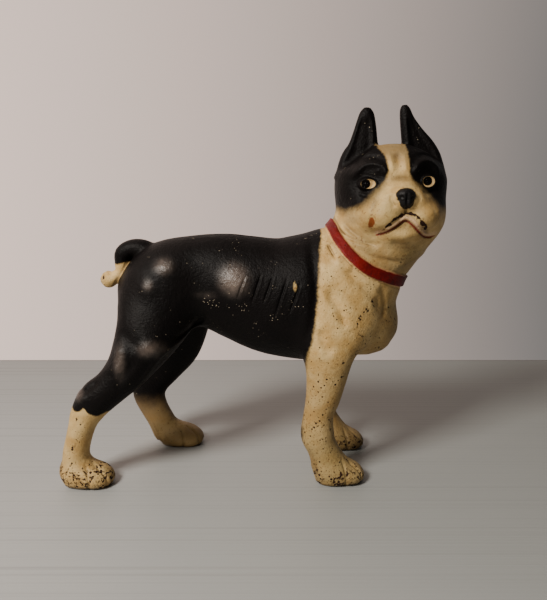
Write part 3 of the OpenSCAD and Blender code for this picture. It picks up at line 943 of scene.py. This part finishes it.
    dots = m.step(0.24, 0.1, m.voronoi(600))
    dust_bar = m.math("SUBTRACT", 0.6, m.math("MULTIPLY", m.mark("speck"), 0.14))
    dust = m.math("MULTIPLY", dots, m.step(dust_bar, m.math("ADD", dust_bar, 0.05), m.noise(130, 4, 0.7)))
    dust = m.math("MULTIPLY", dust, m.math("SUBTRACT", 1.0, cream_at))
    paint = m.mix(m.math("MULTIPLY", dust, 0.8), paint, rgb(176, 162, 140))
    m.put(m.shader.inputs["Base Color"], paint)
    gloss = m.blend(m.math("MULTIPLY", m.step(0.0, 0.8, m.mark("polish_and_highlight")), 0.9), 0.1, 0.4)
    m.put(m.shader.inputs["Specular IOR Level"], m.blend(cream_at, gloss, 0.24))

    shine = m.blend(m.step(0.0, 0.8, m.mark("polish_and_highlight")), m.blend(blotch, 0.42, 0.56), 0.3)
    rough = m.blend(cream_at, shine, m.blend(blotch, 0.4, 0.58))
    rough = m.blend(m.step(0.0, 0.2, m.mark("eye")), rough, 0.15)
    m.put(m.shader.inputs["Roughness"], m.blend(chip, rough, 0.8))
    height = m.math("ADD", m.math("MULTIPLY", grain, 0.4), m.math("MULTIPLY", m.noise(420, 4, 0.6), 0.6))
    skin = m.bump(height, 0.0008, 0.85)
    skin = m.bump(m.noise(90, 4), 0.0012, 0.5, skin)
    skin = m.bump(m.math("SUBTRACT", 1.0, chip), 0.0003, 0.8, skin)
    m.put(m.shader.inputs["Normal"], skin)
    return m.material


def bare_iron():
    """Unpainted cast iron inside the hollow and on the seam faces, dark and lightly rusted."""
    m = Nodes("bare_cast_iron")
    rust = m.step(0.45, 0.62, m.noise(70, 6, 0.6))
    colour = m.mix(m.noise(400, 4), rgb(44, 41, 39), rgb(78, 72, 68))
    m.put(m.shader.inputs["Base Color"], m.mix(rust, colour, rgb(96, 54, 30)))
    m.shader.inputs["Metallic"].default_value = 0.35
    m.put(m.shader.inputs["Roughness"], m.blend(rust, 0.55, 0.85))
    m.put(m.shader.inputs["Normal"], m.bump(m.noise(500, 5, 0.6), 0.0006, 0.8))
    return m.material


def screw_steel():
    """Dull old steel with rust in its low places."""
    m = Nodes("old_screw_steel")
    rust = m.step(0.5, 0.66, m.noise(260, 6, 0.62))
    colour = m.mix(m.noise(900, 3), rgb(112, 106, 98), rgb(150, 144, 134))
    m.put(m.shader.inputs["Base Color"], m.mix(rust, colour, rgb(104, 62, 36)))
    m.shader.inputs["Metallic"].default_value = 0.9
    m.put(m.shader.inputs["Roughness"], m.blend(rust, 0.38, 0.75))
    m.put(m.shader.inputs["Normal"], m.bump(m.noise(900, 4), 0.0002, 0.6))
    return m.material


# ---------------------------------------------------------------- pieces

def castings():
    """The two half castings, painted outside and bare inside."""
    solid = figure()
    hollow = refined(chamber(), solid)
    paint, iron = enamel(), bare_iron()
    for node, body, side in (("right_half", "right_side", -1), ("left_half", "left_side", 1)):
        piece = surface_mesh(node + "_casting", half_casting(solid, hollow, side), MOST_TRIANGLES)
        add_marks(piece, solid)
        mesh = piece.data
        mesh.materials.append(paint)
        mesh.materials.append(iron)
        depth = np.zeros(len(mesh.vertices), np.float32)
        mesh.attributes["skin"].data.foreach_get("value", depth)
        corner = np.zeros(len(mesh.loops), np.int32)
        mesh.loops.foreach_get("vertex_index", corner)
        first = np.zeros(len(mesh.polygons), np.int32)
        mesh.polygons.foreach_get("loop_start", first)
        mean = (depth[corner[first]] + depth[corner[first + 1]] + depth[corner[first + 2]]) / 3
        mesh.polygons.foreach_set("material_index", (mean > 0.9).astype(np.int32))
        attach(piece, body)
        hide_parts(node)


def screws():
    """Slotted round-head machine screws with a cut thread."""
    steel = screw_steel()
    for node in ("front_screw", "rear_screw"):
        sx, sz, tip, top, head_r = screw_place(node)
        g = Grid((sx - head_r - 1, tip - 1, sz - head_r - 1), (sx + head_r + 1, top + 1, sz + head_r + 1),
                 0.25)
        x, y, z = g.axes[0][:, None, None], g.axes[1][None, :, None], g.axes[2][None, None, :]
        r, turn = np.hypot(x - sx, z - sz), np.arctan2(z - sz, x - sx) / (2 * math.pi)
        seat, pitch = top - HEAD_HEIGHT, 1.27
        phase = np.abs(np.mod(y / pitch + turn, 1.0) - 0.5) * 2
        threaded = 1 - smoothstep(tip + 24, tip + 26, y)
        shank = np.maximum(r - 3.14 + 0.62 * phase * threaded, np.maximum(tip + 0.02 - y, y - seat - 0.5))
        shank = np.maximum(shank, (r + (tip + 0.8 - y) - 3.1) * 0.7)
        dome = np.sqrt(r ** 2 + ((y - seat + 1.6) * 1.08) ** 2) - head_r + 0.05
        head = np.maximum(np.maximum(dome, r - head_r + 0.05), np.maximum(seat - y, y - top + 0.03))
        driver = np.maximum(np.abs(x - sx) - 0.8, top - 1.8 - y)
        g.values = np.maximum(np.minimum(shank, np.maximum(head, -driver)), -FAR).astype(np.float32)
        piece = surface_mesh(node + "_piece", g)
        piece.data.materials.append(steel)
        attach(piece, node)
        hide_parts(node)


# ---------------------------------------------------------------- stage, lights and camera

def stage():
    """A pale table top that ends behind the object, where the wall of the studio light begins."""
    mesh = bpy.data.meshes.new("floor")
    back, side, front, deep = 0.265, 2.5, -1.6, -0.02
    corners = [(-side, front, 0), (side, front, 0), (side, back, 0), (-side, back, 0)]
    mesh.from_pydata(corners + [(x, y, deep) for x, y, _ in corners], [],
                     [(0, 1, 2, 3), (3, 2, 6, 7), (0, 3, 7, 4), (1, 5, 6, 2), (0, 4, 5, 1), (4, 7, 6, 5)])
    floor = bpy.data.objects.new("floor", mesh)
    bpy.context.scene.collection.objects.link(floor)
    m = Nodes("pale_table_top")
    grooves = m.noise(100, 3, vector=m.scaled(0.012, 3.4, 1.0))
    shade = m.mix(m.noise(4, 3), rgb(156, 158, 157), rgb(169, 171, 170))
    shade = m.mix(m.math("MULTIPLY", m.step(0.5, 0.75, grooves), 0.5), shade, rgb(128, 127, 126))
    part = m.tree.nodes.new("ShaderNodeSeparateXYZ")
    m.put(part.inputs[0], m.place)
    # painted shade: the table top is darker towards the right, away from the key light
    right = m.math("MULTIPLY", m.step(-0.2, 0.3, part.outputs["X"]), 0.8)
    shade = m.mix(right, shade, rgb(138, 143, 141))
    # painted shade: a darker line along the back edge, where the table top meets the wall
    edge = m.math("MULTIPLY", m.step(0.2605, 0.2625, part.outputs["Y"]), 0.5)
    shade = m.mix(edge, shade, rgb(110, 104, 100))
    m.put(m.shader.inputs["Base Color"], shade)
    m.shader.inputs["Roughness"].default_value = 0.5
    m.put(m.shader.inputs["Normal"], m.bump(grooves, 0.0006, 0.5))
    mesh.materials.append(m.material)


def lamp(name, place, aim, size, power, colour):
    """A square soft light that looks at a point."""
    data = bpy.data.lights.new(name, "AREA")
    data.size = size
    data.energy = power
    data.color = colour
    light = bpy.data.objects.new(name, data)
    light.location = place
    light.rotation_mode = "QUATERNION"
    light.rotation_quaternion = (Vector(aim) - Vector(place)).to_track_quat("-Z", "Y")
    bpy.context.scene.collection.objects.link(light)


def lights():
    """A soft key from the front left, and a studio brighter on that side and behind the object."""
    middle = (0.0, 0.0, 0.1)
    lamp("key", (-0.48, -0.585, 0.69), middle, 0.26, 13, (1.0, 0.93, 0.84))
    world = bpy.data.worlds.new("studio")
    world.use_nodes = True
    tree = world.node_tree
    place = tree.nodes.new("ShaderNodeTexCoord")
    part = tree.nodes.new("ShaderNodeSeparateXYZ")
    tree.links.new(place.outputs["Generated"], part.inputs[0])
    sideways = tree.nodes.new("ShaderNodeMapRange")
    tree.links.new(part.outputs["X"], sideways.inputs["Value"])
    sideways.inputs["From Min"].default_value = -0.42
    sideways.inputs["From Max"].default_value = 0.42
    wall = tree.nodes.new("ShaderNodeMix")
    wall.data_type = "RGBA"
    tree.links.new(sideways.outputs["Result"], wall.inputs[0])
    wall.inputs[6].default_value = (1.16, 0.91, 0.79, 1)
    wall.inputs[7].default_value = (0.215, 0.2, 0.19, 1)
    room = tree.nodes.new("ShaderNodeMapRange")
    tree.links.new(part.outputs["Y"], room.inputs["Value"])
    room.inputs["From Min"].default_value = -0.4
    room.inputs["From Max"].default_value = 0.5
    room.inputs["To Min"].default_value = 0.12
    tree.links.new(wall.outputs[2], tree.nodes["Background"].inputs[0])
    tree.links.new(room.outputs["Result"], tree.nodes["Background"].inputs[1])
    bpy.context.scene.world = world


def camera():
    """The photograph's view: a little above the back, looking slightly down."""
    data = bpy.data.cameras.new("camera")
    data.sensor_width = 36
    data.lens = 36
    cam = bpy.data.objects.new("camera", data)
    cam.location = (0.0145, -0.418, 0.202)
    cam.rotation_euler = (math.radians(90 - 10.76), 0, 0)
    bpy.context.scene.collection.objects.link(cam)
    bpy.context.scene.camera = cam


camera()
castings()
screws()
stage()
lights()
